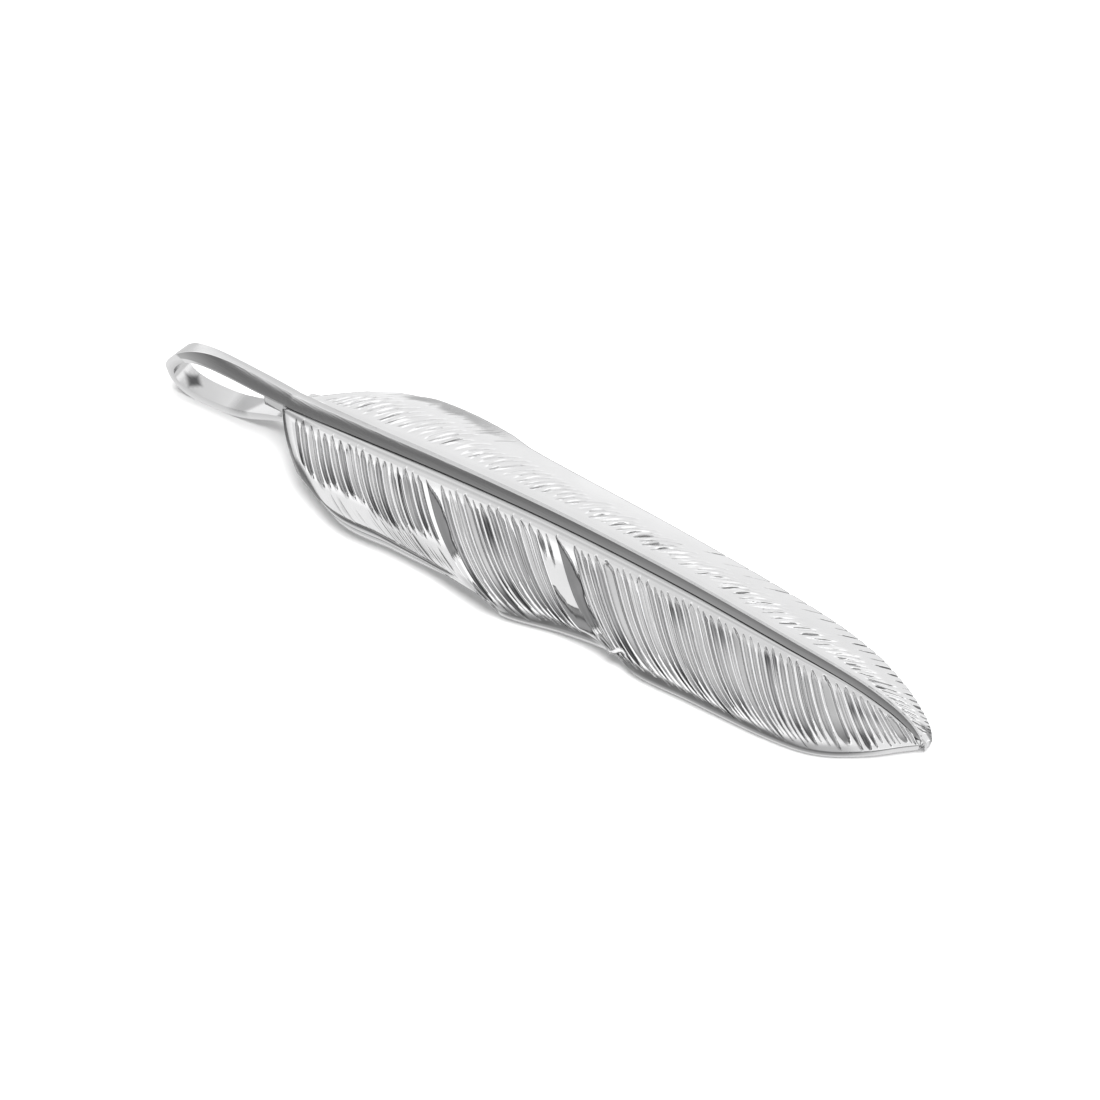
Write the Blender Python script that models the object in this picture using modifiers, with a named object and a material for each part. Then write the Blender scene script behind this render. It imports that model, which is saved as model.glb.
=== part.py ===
"""Silver feather pendant, lying on its back: a plate carved as a feather, and a half-round quill bar
that runs along the plate, folds back in a teardrop loop and ends in a tongue under the plate's base.

Run with: blender --background --python part.py
Metres, +Z up, +X towards the feather's tip, +Y towards its broad-based vane.
"""
import bpy
import bmesh
from mathutils import Vector

MM = 0.001

# Driving dimensions
SHAFT_LENGTH = 56.7 * MM        # from the plate's base to the end of the quill, just short of the tip
THINS_FROM = 40.0 * MM          # the plate is at its edge thickness all over by THINS_TO
THINS_TO = 56.0 * MM
EDGE_THICKNESS = 0.75 * MM      # the plate at its outline
BASE_THICKNESS = 1.05 * MM      # the plate under the quill bar
SOLDER_GAP = 0.06 * MM          # left between the plate and the bar
TONGUE_LENGTH = 2.0 * MM        # the plate's tongue between the limbs of the loop
TONGUE_HALF_WIDTH = 0.8 * MM
FAR_SETBACK = 0.9 * MM          # the far vane's base corner stands this much behind the near one's
LOCKS_PER_VANE = 32
LOCK_RELIEF = 0.2 * MM          # how far a lock stands above the groove beside it
LOCK_FADE_IN = 3                # columns of the mesh over which the locks rise at the base
LOCK_FADE_OUT = 14              # and over which they sink at the tip
LOCK_END_SHARE = 0.6            # share of the relief that is left beside the strip
LOCK_EDGE_SHARES = (0.0, 0.25, 0.6)     # and on the outline and the two rows inside it
PANEL_LIFT = 0.24 * MM          # how far a panel of the split vane rises at its free end
PANEL_CURL = 3.5 * MM           # the length of shaft over which it rises
PANEL_SINK_SHARE = 0.4          # the next panel starts lower by this share of the lift
VANE_DROP = 0.75                # how much of a barb's fall is even along it; the rest is at its end
LIP_SHARE = 0.5                 # share of the edge thickness that is left in the curled lip at a split
LIP_REACH = 0.9 * MM            # the lip's reach on either side of the split, along the shaft
NEAR_ROWS = 9
SHAFT_ROWS = 3
FAR_ROWS = 6
BAIL_STATIONS = 44
SHAFT_STATIONS = 34
CROWN_POINTS = 7
SHARP_ANGLE = 0.6               # in radians: flatter edges than this are shaded smooth

# The origin is below the middle of the object's box; this is that point, from the plate's base
BOX_CENTRE = Vector((23.25 * MM, 1.29 * MM, 0.0))

# The line of the quill seen from above, as (distance from the plate's base, sideways place) in mm
SHAFT_LINE = [(-12.0, 0.05), (-5.0, 0.35), (0.0, 0.85), (7.0, 1.5), (15.0, 2.1), (25.0, 2.5),
              (35.0, 2.6), (44.0, 2.45), (50.0, 2.25), (53.5, 1.7), (55.5, 1.05), (57.4, 0.0)]

# The plate's upper surface under the quill, as (distance, height) in mm
SPINE_HEIGHT = [(-3.0, 3.9), (0.0, 3.55), (4.0, 3.25), (12.5, 3.05), (24.0, 2.85), (34.5, 2.35),
                (44.5, 1.6), (50.0, 1.2), (54.0, 1.0), (57.4, 0.88)]

# Half-widths of the smooth strip beside the quill, as (distance, half-width) in mm
NEAR_STRIP = [(0.0, 1.2), (5.0, 1.6), (12.0, 1.75), (25.0, 1.6), (35.0, 1.4), (46.0, 1.0),
              (54.0, 0.55), (56.7, 0.2)]
FAR_STRIP = [(0.0, 0.85), (4.0, 1.25), (8.0, 1.35), (25.0, 1.25), (38.0, 1.05), (48.0, 0.8),
             (54.0, 0.45), (56.7, 0.2)]

# Where the barb that leaves the shaft at a place ends on the outline: (place on the shaft, x, y, height)
NEAR_BARBS = [(0.0, 3.9, -4.05, 2.05), (2.0, 8.6, -5.72, 1.5), (5.0, 13.4, -5.55, 1.27),
              (9.0, 18.2, -5.65, 1.15), (12.6, 22.2, -6.05, 1.12), (14.0, 24.0, -6.25, 1.1),
              (18.5, 28.4, -5.25, 1.03), (24.0, 32.8, -5.0, 0.98), (26.0, 35.2, -5.6, 0.95),
              (30.0, 39.5, -5.5, 0.9), (38.0, 46.8, -5.24, 0.81), (44.0, 50.6, -4.5, 0.79),
              (49.0, 53.8, -2.6, 0.79), (53.0, 56.0, -0.65, 0.8), (56.7, 56.95, 0.12, 0.82)]
FAR_BARBS = [(0.0, 3.8, 5.7, 2.3), (2.0, 5.6, 7.4, 1.65), (5.0, 8.6, 8.45, 1.33),
             (9.0, 12.6, 8.8, 1.2), (15.0, 18.8, 8.4, 1.14), (27.0, 31.6, 7.9, 0.98),
             (38.0, 43.6, 6.95, 0.86), (45.0, 49.6, 5.8, 0.82), (50.0, 53.6, 4.1, 0.8),
             (54.0, 56.4, 2.2, 0.8), (56.7, 57.4, 0.95, 0.82)]

# How a barb sweeps: two points that pull it from the straight line, as shares of its reach along the
# shaft and across it: (place on the shaft in mm, first along, first across, second along, second across)
NEAR_SWEEP = [(0.0, 0.27, 0.39, 0.6, 0.72), (3.0, 0.2, 0.33, 0.45, 0.8), (9.0, 0.14, 0.27, 0.38, 0.88),
              (12.5, 0.17, 0.26, 0.46, 0.8), (18.0, 0.2, 0.24, 0.5, 0.9), (23.5, 0.2, 0.24, 0.5, 0.86),
              (26.0, 0.2, 0.26, 0.5, 0.76), (30.0, 0.2, 0.25, 0.48, 0.82), (36.0, 0.2, 0.24, 0.48, 0.86),
              (44.0, 0.22, 0.28, 0.5, 0.8), (50.0, 0.28, 0.33, 0.6, 0.7), (56.7, 0.33, 0.33, 0.67, 0.67)]
FAR_SWEEP = [(0.0, 0.33, 0.33, 0.67, 0.67), (4.0, 0.25, 0.4, 0.58, 0.73), (35.0, 0.25, 0.4, 0.58, 0.73),
             (56.7, 0.33, 0.33, 0.67, 0.67)]

# The two splits of the near vane, as the place on the shaft where each one starts
SPLITS = (12.9 * MM, 24.3 * MM)

# Half-width, side height and crown of the bar, as (distance from the plate's base, size) in mm
BAR_HALF_WIDTH = [(0.0, 0.9), (5.0, 0.8), (15.0, 0.68), (25.0, 0.58), (35.0, 0.5), (50.0, 0.42),
                  (55.0, 0.32), (56.7, 0.16)]
BAR_CROWN = [(0.0, 0.52), (10.0, 0.46), (25.0, 0.4), (45.0, 0.34), (55.0, 0.24), (56.7, 0.12)]
BAR_SIDE = [(0.0, 0.12), (10.0, 0.08), (56.7, 0.05)]

# The inner face of the loop seen from the side: (x, z, half-width, side, crown) in mm
BAIL_PATH = [(0.0, 3.61, 0.9, 0.12, 0.52), (-2.25, 3.97, 0.95, 0.22, 0.5), (-5.0, 4.4, 0.96, 0.25, 0.5),
             (-7.4, 4.45, 0.98, 0.28, 0.48), (-9.1, 3.8, 1.0, 0.38, 0.42), (-10.05, 2.4, 1.0, 0.5, 0.36),
             (-9.55, 1.25, 0.98, 0.56, 0.24), (-8.1, 0.76, 0.94, 0.76, 0.0), (-5.6, 0.76, 0.92, 0.76, 0.0),
             (-3.6, 1.15, 0.9, 0.7, 0.08), (-1.6, 1.8, 0.88, 0.56, 0.2), (0.6, 2.3, 0.85, 0.35, 0.32),
             (3.2, 2.16, 0.7, 0.2, 0.3), (5.2, 2.07, 0.3, 0.12, 0.16)]

# The flat underside of the loop, on which the pendant rests
PAD_FROM = -8.1 * MM
PAD_TO = -5.6 * MM
PAD_BELOW = 1.2 * MM            # sections whose inner face is under this height get the flat
PAD_SNAP = 0.4 * MM             # and so do their points under this one


def read_curve(points, at):
    """Value at a place of the smooth curve through (place, value, ...) points, all in mm; gives metres."""
    place = min(max(at / MM, points[0][0]), points[-1][0])
    index = 0
    while index < len(points) - 2 and place > points[index + 1][0]:
        index += 1
    start = points[index]
    end = points[index + 1]
    before = points[max(index - 1, 0)]
    after = points[min(index + 2, len(points) - 1)]
    span = end[0] - start[0]
    t = (place - start[0]) / span
    values = []
    for k in range(1, len(start)):
        slope_in = (end[k] - before[k]) / (end[0] - before[0]) * span
        slope_out = (after[k] - start[k]) / (after[0] - start[0]) * span
        values.append((start[k] * (2 * t ** 3 - 3 * t ** 2 + 1) + slope_in * (t ** 3 - 2 * t ** 2 + t)
                       + end[k] * (3 * t ** 2 - 2 * t ** 3) + slope_out * (t ** 3 - t ** 2)) * MM)
    return values if len(values) > 1 else values[0]


def smooth_step(low, high, value):
    """0 below low, 1 above high, and a smooth ramp between."""
    t = min(max((value - low) / (high - low), 0.0), 1.0)
    return t * t * (3.0 - 2.0 * t)


def silver(name, tint, roughness):
    """Polished sterling silver."""
    material = bpy.data.materials.new(name)
    material.use_nodes = True
    shader = material.node_tree.nodes["Principled BSDF"]
    shader.inputs["Base Color"].default_value = (*tint, 1.0)
    shader.inputs["Metallic"].default_value = 1.0
    shader.inputs["Roughness"].default_value = roughness
    return material


def panel_of(root):
    """Start and end, on the shaft, of the panel of the near vane that a barb belongs to."""
    bounds = (0.0, *SPLITS, SHAFT_LENGTH)
    for start, end in zip(bounds, bounds[1:]):
        if root <= end:
            return start, end
    return bounds[-2], bounds[-1]


def near_edge(root):
    """Outline point of the near vane, lifted where a panel ends and low where the next one begins."""
    x, y, z = read_curve(NEAR_BARBS, root)
    start, end = panel_of(root)
    if end < SHAFT_LENGTH:
        z += PANEL_LIFT * smooth_step(end - PANEL_CURL, end, root)
    if start > 0.0:
        z -= PANEL_SINK_SHARE * PANEL_LIFT * (1.0 - smooth_step(0.0, PANEL_CURL, root - start))
    return Vector((x, y, z))


def barb_point(root_point, edge_point, sweep, t):
    """Point of a barb, which leaves the shaft steeply and sweeps towards the tip."""
    reach = edge_point - root_point
    first_along, first_across, second_along, second_across = [value / MM for value in sweep]
    early = 3 * t * (1 - t) ** 2
    late = 3 * t ** 2 * (1 - t)
    along = early * first_along + late * second_along + t ** 3
    across = early * first_across + late * second_across + t ** 3
    fall = VANE_DROP * across + (1.0 - VANE_DROP) * across ** 2
    return root_point + Vector((reach.x * along, reach.y * across, reach.z * fall))


def plate_point(root, row):
    """Point of the plate's upper surface on one row, without the locks."""
    centre = read_curve(SHAFT_LINE, root)
    height = read_curve(SPINE_HEIGHT, root)
    set_back = FAR_SETBACK * (1.0 - smooth_step(0.0, 4.0 * MM, root))
    near_root = Vector((root, centre - read_curve(NEAR_STRIP, root), height))
    far_root = Vector((root + set_back, centre + read_curve(FAR_STRIP, root), height))
    if row < NEAR_ROWS:
        t = 1.0 - row / NEAR_ROWS
        return barb_point(near_root, near_edge(root), read_curve(NEAR_SWEEP, root), t)
    if row > NEAR_ROWS + SHAFT_ROWS:
        t = (row - NEAR_ROWS - SHAFT_ROWS) / FAR_ROWS
        edge = Vector(read_curve(FAR_BARBS, root))
        return barb_point(far_root, edge, read_curve(FAR_SWEEP, root), t)
    return near_root.lerp(far_root, (row - NEAR_ROWS) / SHAFT_ROWS)


def lock_height(column, row):
    """The locks: every second column is a ridge, which fades out at the strip and at the outline."""
    rows = NEAR_ROWS + SHAFT_ROWS + FAR_ROWS
    if NEAR_ROWS <= row <= NEAR_ROWS + SHAFT_ROWS:
        return 0.0
    last = 2 * LOCKS_PER_VANE
    fade = smooth_step(0, LOCK_FADE_IN, column) * smooth_step(0, LOCK_FADE_OUT, last - column)
    from_outline = min(row, rows - row)
    if from_outline < len(LOCK_EDGE_SHARES):
        fade *= LOCK_EDGE_SHARES[from_outline]
    elif row in (NEAR_ROWS - 1, NEAR_ROWS + SHAFT_ROWS + 1):
        fade *= LOCK_END_SHARE
    sign = 0.5 if column % 2 else -0.5
    return sign * LOCK_RELIEF * fade


def make_plate(collection, material):
    """The feather itself: one sheet of locks on either side of the quill, with thickness."""
    columns = 2 * LOCKS_PER_VANE
    rows = NEAR_ROWS + SHAFT_ROWS + FAR_ROWS
    mesh_builder = bmesh.new()
    bmesh.ops.create_grid(mesh_builder, x_segments=columns, y_segments=rows, size=0.5)
    mesh_builder.verts.ensure_lookup_table()
    weight_of = {}
    base_verts = []
    for vert in mesh_builder.verts:
        column = round((vert.co.x + 0.5) * columns)
        row = round((vert.co.y + 0.5) * rows)
        root = SHAFT_LENGTH * column / columns
        vert.co = plate_point(root, row)
        vert.co.z += lock_height(column, row)
        across = max((NEAR_ROWS - row) / NEAR_ROWS, (row - NEAR_ROWS - SHAFT_ROWS) / FAR_ROWS, 0.0)
        edge_share = EDGE_THICKNESS / BASE_THICKNESS
        thinned = max(across, smooth_step(THINS_FROM, THINS_TO, root))
        weight_of[vert] = 1.0 - (1.0 - edge_share) * thinned
        if row == 0 and any(abs(root - split) < LIP_REACH for split in SPLITS):
            weight_of[vert] *= LIP_SHARE
        if column == 0 and NEAR_ROWS <= row <= NEAR_ROWS + SHAFT_ROWS:
            base_verts.append(vert)

    # The tongue: the base's edge beside the quill drawn back between the limbs of the loop
    base_edges = [edge for edge in mesh_builder.edges if all(vert in base_verts for vert in edge.verts)]
    drawn = bmesh.ops.extrude_edge_only(mesh_builder, edges=base_edges)["geom"]
    tongue_verts = [item for item in drawn if isinstance(item, bmesh.types.BMVert)]
    low_side = min(vert.co.y for vert in tongue_verts)
    high_side = max(vert.co.y for vert in tongue_verts)
    centre = read_curve(SHAFT_LINE, -TONGUE_LENGTH)
    for vert in tongue_verts:
        side = 2.0 * (vert.co.y - low_side) / (high_side - low_side) - 1.0
        vert.co = Vector((-TONGUE_LENGTH, centre + side * TONGUE_HALF_WIDTH,
                          read_curve(SPINE_HEIGHT, -TONGUE_LENGTH)))
        weight_of[vert] = 1.0

    bmesh.ops.recalc_face_normals(mesh_builder, faces=mesh_builder.faces)
    if sum(face.normal.z for face in mesh_builder.faces) < 0.0:
        bmesh.ops.reverse_faces(mesh_builder, faces=mesh_builder.faces)
    mesh_builder.verts.index_update()
    weights = [(vert.index, weight) for vert, weight in weight_of.items()]
    mesh = bpy.data.meshes.new("vane_plate")
    mesh_builder.to_mesh(mesh)
    mesh_builder.free()

    plate = bpy.data.objects.new("vane_plate", mesh)
    collection.objects.link(plate)
    plate.data.materials.append(material)
    group = plate.vertex_groups.new(name="thickness")
    for index, weight in weights:
        group.add([index], weight, 'REPLACE')
    solid = plate.modifiers.new("thickness", 'SOLIDIFY')
    solid.thickness = BASE_THICKNESS
    solid.offset = -1.0
    solid.vertex_group = group.name
    solid.thickness_vertex_group = 0.0
    mesh.shade_smooth()
    mesh.set_sharp_from_angle(angle=SHARP_ANGLE)
    return plate


def bar_stations():
    """Places along the bar from its rounded end at the tip to its tongue under the plate."""
    stations = []
    for step in range(SHAFT_STATIONS):
        x = SHAFT_LENGTH * (1.0 - step / SHAFT_STATIONS)
        place = Vector((x, read_curve(SHAFT_LINE, x), read_curve(SPINE_HEIGHT, x) + SOLDER_GAP))
        stations.append((place, read_curve(BAR_HALF_WIDTH, x), read_curve(BAR_SIDE, x),
                         read_curve(BAR_CROWN, x)))
    numbered = [(float(index), *point) for index, point in enumerate(BAIL_PATH)]
    last = len(BAIL_PATH) - 1
    for step in range(BAIL_STATIONS + 1):
        x, z, half_width, side, crown = read_curve(numbered, last * step / BAIL_STATIONS * MM)
        place = Vector((x, read_curve(SHAFT_LINE, x), z))
        stations.append((place, half_width, side, max(crown, 0.0)))
    return stations


def bar_section(place, along, half_width, side, crown):
    """One D-shaped section: flat inside, upright sides and a crowned outside."""
    outward = Vector((along.z, 0.0, -along.x)).normalized()
    across = outward.cross(along).normalized()
    outward = along.cross(across).normalized()
    points = [place - across * half_width]
    for index in range(CROWN_POINTS):
        share = -1.0 + 2.0 * index / (CROWN_POINTS - 1)
        rise = side + crown * (1.0 - share * share) ** 0.5
        points.append(place + across * (half_width * share) + outward * rise)
    points.append(place + across * half_width)
    return points


def make_bar(collection, material):
    """The quill and bail: one half-round bar, lofted from the tip round the loop to its tongue."""
    stations = bar_stations()
    mesh_builder = bmesh.new()
    rings = []
    for index, (place, half_width, side, crown) in enumerate(stations):
        ahead = stations[min(index + 1, len(stations) - 1)][0]
        behind = stations[max(index - 1, 0)][0]
        points = bar_section(place, (ahead - behind).normalized(), half_width, side, crown)
        if PAD_FROM <= place.x <= PAD_TO and place.z < PAD_BELOW:
            points = [Vector((point.x, point.y, 0.0 if point.z < PAD_SNAP else point.z))
                      for point in points]
        rings.append([mesh_builder.verts.new(point) for point in points])
    for ring, following in zip(rings, rings[1:]):
        for index in range(len(ring)):
            after = (index + 1) % len(ring)
            mesh_builder.faces.new((ring[index], ring[after], following[after], following[index]))
    mesh_builder.faces.new(rings[0])
    mesh_builder.faces.new(rings[-1])
    bmesh.ops.recalc_face_normals(mesh_builder, faces=mesh_builder.faces)
    mesh = bpy.data.meshes.new("quill_and_bail")
    mesh_builder.to_mesh(mesh)
    mesh_builder.free()
    mesh.shade_smooth()
    mesh.set_sharp_from_angle(angle=SHARP_ANGLE)
    bar = bpy.data.objects.new("quill_and_bail", mesh)
    collection.objects.link(bar)
    bar.data.materials.append(material)
    return bar


def main():
    """Clear the scene and build the pendant about its origin."""
    for old in list(bpy.data.objects):
        bpy.data.objects.remove(old, do_unlink=True)
    collection = bpy.data.collections.new("feather_pendant")
    bpy.context.scene.collection.children.link(collection)
    pendant = bpy.data.objects.new("pendant", None)
    collection.objects.link(pendant)
    pendant.location = -BOX_CENTRE
    plate = make_plate(collection, silver("silver_plate", (0.90, 0.90, 0.91), 0.16))
    bar = make_bar(collection, silver("silver_bar", (0.88, 0.88, 0.89), 0.12))
    for piece in (plate, bar):
        piece.parent = pendant


if __name__ == "__main__":
    main()
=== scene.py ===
"""Looks of a silver feather pendant that lies on a white table.

The carved vanes, the half-round quill bar and its hanging loop are fine meshes that stand for the
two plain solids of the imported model. Sizes are in mm, measured from the base of the plate, with +X
towards the tip of the feather and +Y towards its broad-based vane.
"""
import logging
import math
from dataclasses import dataclass, field, replace
from enum import Enum

import bpy
import numpy as np
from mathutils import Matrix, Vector


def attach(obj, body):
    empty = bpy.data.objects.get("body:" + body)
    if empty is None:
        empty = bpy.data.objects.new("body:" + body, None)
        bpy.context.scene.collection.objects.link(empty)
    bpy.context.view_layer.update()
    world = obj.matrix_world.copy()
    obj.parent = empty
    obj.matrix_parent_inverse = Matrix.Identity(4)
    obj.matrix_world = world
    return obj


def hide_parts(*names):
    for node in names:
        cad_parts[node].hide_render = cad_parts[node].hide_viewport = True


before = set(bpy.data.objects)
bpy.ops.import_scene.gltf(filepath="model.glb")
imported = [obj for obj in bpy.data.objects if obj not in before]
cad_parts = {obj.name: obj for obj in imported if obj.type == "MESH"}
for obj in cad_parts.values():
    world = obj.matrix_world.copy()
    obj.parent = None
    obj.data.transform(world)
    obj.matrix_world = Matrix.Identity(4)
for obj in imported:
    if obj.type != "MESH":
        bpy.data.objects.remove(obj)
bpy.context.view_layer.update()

Array = np.ndarray
Piece = bpy.types.Object
Tree = bpy.types.NodeTree
Socket = bpy.types.NodeSocket
Inputs = dict[str | int, object]      # for each input of a node, its value or what feeds it
Faces = list[tuple[int, ...]]
Pair = tuple[float, float]
Triple = tuple[float, float, float]

MM = 0.001
BOX_CENTRE = np.array([23.25, 1.29, 0.0])   # this point, from the plate's base, is over the origin
SHAFT_LENGTH = 56.7
SPLITS = (12.9, 24.3)                       # where the two splits of the near vane leave the shaft
TINY = 1e-9                                 # keeps what is divided by above 0

log = logging.getLogger("feather_pendant")


class Vane(Enum):
    """The two vanes of the feather, as the sign of their side of the quill."""

    NEAR = -1
    FAR = 1


def smooth_step(low: float, high: float, value: Array) -> Array:
    """Ramp from 0 to 1 without corners.

    Args:
        low: the value at which the ramp leaves 0.
        high: the value at which it reaches 1.
        value: where it is read.

    Returns:
        The height of the ramp at each value.
    """
    t = np.clip((value - low) / (high - low), 0.0, 1.0)
    return t * t * (3.0 - 2.0 * t)


def hump(centre: float, half_width: float, value: Array) -> Array:
    """Smooth bell that is 1 at its centre and nearly 0 two half-widths away.

    Args:
        centre: where the bell stands.
        half_width: the distance at which it has fallen to about a third.
        value: where it is read.

    Returns:
        The height of the bell at each value.
    """
    return np.exp(-((value - centre) / half_width) ** 2)

def fade(low: float, high: float, value: Array) -> Array:
    """Ramp from 1 down to 0 without corners, the reverse of smooth_step."""
    return 1.0 - smooth_step(low, high, value)


@dataclass(frozen=True)
class Curve:
    """Smooth curve through a few (place, value, ...) points, in mm."""

    points: tuple[tuple[float, ...], ...]

    def at(self, places: Array) -> Array:
        """Read the curve.

        Args:
            places: places along the curve, which are held inside its ends.

        Returns:
            One value for each place, or a row of values where the points have more than one.
        """
        table = np.array(self.points)
        held = np.clip(np.asarray(places, dtype=float), table[0, 0], table[-1, 0])
        index = np.clip(np.searchsorted(table[:, 0], held) - 1, 0, len(table) - 2)
        start = table[index]
        end = table[index + 1]
        before = table[np.maximum(index - 1, 0)]
        after = table[np.minimum(index + 2, len(table) - 1)]
        span = end[..., :1] - start[..., :1]
        t = (held[..., None] - start[..., :1]) / span
        slope_in = (end - before) / (end[..., :1] - before[..., :1]) * span
        slope_out = (after - start) / (after[..., :1] - start[..., :1]) * span
        values = (start * (2 * t ** 3 - 3 * t ** 2 + 1) + slope_in * (t ** 3 - 2 * t ** 2 + t)
                  + end * (3 * t ** 2 - 2 * t ** 3) + slope_out * (t ** 3 - t ** 2))[..., 1:]
        return values[..., 0] if values.shape[-1] == 1 else values


SHAFT_LINE = Curve((
    (-12.0, 0.05), (-5.0, 0.35), (0.0, 0.85), (7.0, 1.5), (15.0, 2.1), (25.0, 2.5), (35.0, 2.6),
    (44.0, 2.45), (50.0, 2.25), (53.5, 1.7), (55.5, 1.05), (57.4, 0.0)))
SPINE_HEIGHT = Curve((
    (-3.0, 3.9), (0.0, 3.55), (4.0, 3.25), (12.5, 3.05), (24.0, 2.85), (34.5, 2.35), (44.5, 1.6),
    (50.0, 1.2), (54.0, 1.0), (57.4, 0.88)))


def lay_mesh(name: str, points: Array, faces: Faces) -> Piece:
    """Make an object from points in the feather's own mm and give it smooth shading.

    Args:
        name: the name of the object and its mesh.
        points: one row of x, y and z for each point.
        faces: the corners of each face, as numbers of points.

    Returns:
        The new object, linked to the scene.
    """
    mesh = bpy.data.meshes.new(name)
    mesh.from_pydata(((points - BOX_CENTRE) * MM).tolist(), [], faces)
    mesh.update()
    mesh.shade_smooth()
    piece = bpy.data.objects.new(name, mesh)
    bpy.context.scene.collection.objects.link(piece)
    return piece


def paint(piece: Piece, name: str, values: Array) -> None:
    """Keep one number, or one vector, for each point of a piece, for its material to read.

    Args:
        piece: the object.
        name: the name by which the material asks for the values.
        values: one number or one row of three numbers for each point.
    """
    kind, key = ("FLOAT", "value") if values.ndim == 1 else ("FLOAT_VECTOR", "vector")
    layer = piece.data.attributes.new(name, kind, "POINT")
    layer.data.foreach_set(key, values.astype(np.float32).ravel())


def feed(tree: Tree, node: bpy.types.Node, inputs: Inputs) -> None:
    """Give a node its input values, and link the inputs that other nodes feed.

    Args:
        tree: the nodes of the material or the sky.
        node: the node.
        inputs: the value, or the output of another node, for each input by name or number.
    """
    for socket, value in inputs.items():
        if isinstance(value, Socket):
            tree.links.new(value, node.inputs[socket])
        else:
            node.inputs[socket].default_value = value


def add_node(tree: Tree, kind: str, inputs: Inputs | None = None,
             **options: object) -> bpy.types.Node:
    """Add a shader node.

    Args:
        tree: the nodes of the material or the sky.
        kind: the kind of node, without the ShaderNode that all their names start with.
        inputs: what feed gives it.
        **options: the node's own options.

    Returns:
        The node.
    """
    node = tree.nodes.new("ShaderNode" + kind)
    for name, value in options.items():
        setattr(node, name, value)
    feed(tree, node, inputs or {})
    return node


def loft_faces(rings: int, size: int, clockwise: bool = False) -> Faces:
    """Faces between closed rings of points that follow each other, which look outward.

    Args:
        rings: how many rings there are.
        size: how many points each ring has.
        clockwise: whether the points of a ring run clockwise, seen against the way the rings follow.

    Returns:
        One quad for each step round each pair of rings.
    """
    first = np.arange(rings - 1)[:, None] * size
    here = np.arange(size)[None, :]
    after = (here + 1) % size
    quads = np.stack([first + here, first + after, first + size + after, first + size + here], axis=-1)
    if clockwise:
        quads = quads[..., ::-1]
    return [tuple(quad) for quad in quads.reshape(-1, 4).tolist()]


def tube_faces(rings: int, size: int, clockwise: bool = False) -> Faces:
    """Faces of a loft that is closed at both ends, which look outward.

    Args:
        rings: how many rings there are.
        size: how many points each ring has.
        clockwise: as for loft_faces.

    Returns:
        The quads of the loft, and a face at each end.
    """
    ends = [list(range(size))[::-1], list(range((rings - 1) * size, rings * size))]
    return loft_faces(rings, size, clockwise) + [tuple(end[::-1] if clockwise else end) for end in ends]


@dataclass(frozen=True)
class Groove:
    """One gouge cut along a barb: its place on the shaft, where it starts and ends on the vane from
    0 at the quill to 1 at the outline, and the flat share of its floor."""

    place: float
    half_width: float
    start: float
    end: float
    depth: float
    floor: float = 0.0
    run_in: float = 0.04
    run_out: float = 0.16
    tarnish: float = 1.0
    point: float = 0.5               # 0.5 starts the cut round, 1 starts it as a sharp point

    def shape(self, place: Array, along: Array) -> Array:
        """Depth of the cut, from 0 outside it to 1 on its floor.

        Args:
            place: places on the shaft, in mm.
            along: places across the vane, from 0 to 1.

        Returns:
            The share of the depth at each pair of places.
        """
        entry = np.clip((along - self.start) / self.run_in, 0.0, 1.0)
        leave = np.clip((self.end - along) / self.run_out, 0.0, 1.0)
        opening = entry ** self.point * np.sqrt(leave)
        reach = np.abs(place - self.place) / np.maximum(self.half_width * opening, TINY)
        wall = np.clip((reach - self.floor) / (1.0 - self.floor), 0.0, 1.0)
        return (1.0 - wall ** 2) * np.sqrt(opening) * (opening > 0.0)


@dataclass(frozen=True)
class Split:
    """A place where the near vane has parted: a flat wedge cut down beside the free end of a panel."""

    place: float
    width: float
    start: float
    end: float
    depth: float
    seed: int

    def opening(self, along: Array) -> Array:
        """Width of the wedge across the vane, in mm, with a torn far side.

        Args:
            along: places across the vane, from 0 to 1.

        Returns:
            The width at each place.
        """
        dice = np.random.default_rng(self.seed)
        knots = np.linspace(0.0, 1.0, 15)
        torn = np.interp(along, knots, dice.uniform(0.8, 1.12, len(knots)))
        middle = self.start + 0.45 * (self.end - self.start)
        shape = smooth_step(self.start, middle, along) * fade(self.end - 0.16, self.end, along)
        return self.width * shape * torn

    def wedge(self, place: Array, along: Array) -> Array:
        """1 on the wedge's floor and 0 outside it.

        Args:
            place: places on the shaft, in mm.
            along: places across the vane, from 0 to 1.

        Returns:
            The share of the wedge's depth at each pair of places.
        """
        width = self.opening(along)
        past = place - self.place
        return smooth_step(0.0, 0.03, past) * fade(-0.05, 0.03, past - width) * (width > 0.02)

@dataclass
class Relief:
    """The carving of one vane: how high it stands over the smooth form, in mm, and its tarnish, which also
    holds painted shade.

    Both have a row for each place on the shaft and a column for each place across the vane.
    """

    place: Array
    along: Array
    height: Array = field(init=False)
    tarnish: Array = field(init=False)

    def __post_init__(self) -> None:
        """Start with a vane that is smooth and bright."""
        self.place = self.place[:, None]
        self.along = self.along[None, :]
        self.height = np.zeros((self.place.size, self.along.size))
        self.tarnish = np.zeros_like(self.height)

    def darken(self, tarnish: Array) -> None:
        """Raise the darkening, tarnish and painted shade alike, to at least the given one."""
        self.tarnish = np.maximum(self.tarnish, tarnish)

    def score(self, cut: Groove) -> None:
        """Sink a fine cut into what is carved already.

        Args:
            cut: the cut.
        """
        shape = cut.shape(self.place, self.along)
        self.height -= cut.depth * shape
        self.darken(cut.tarnish * shape)


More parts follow.
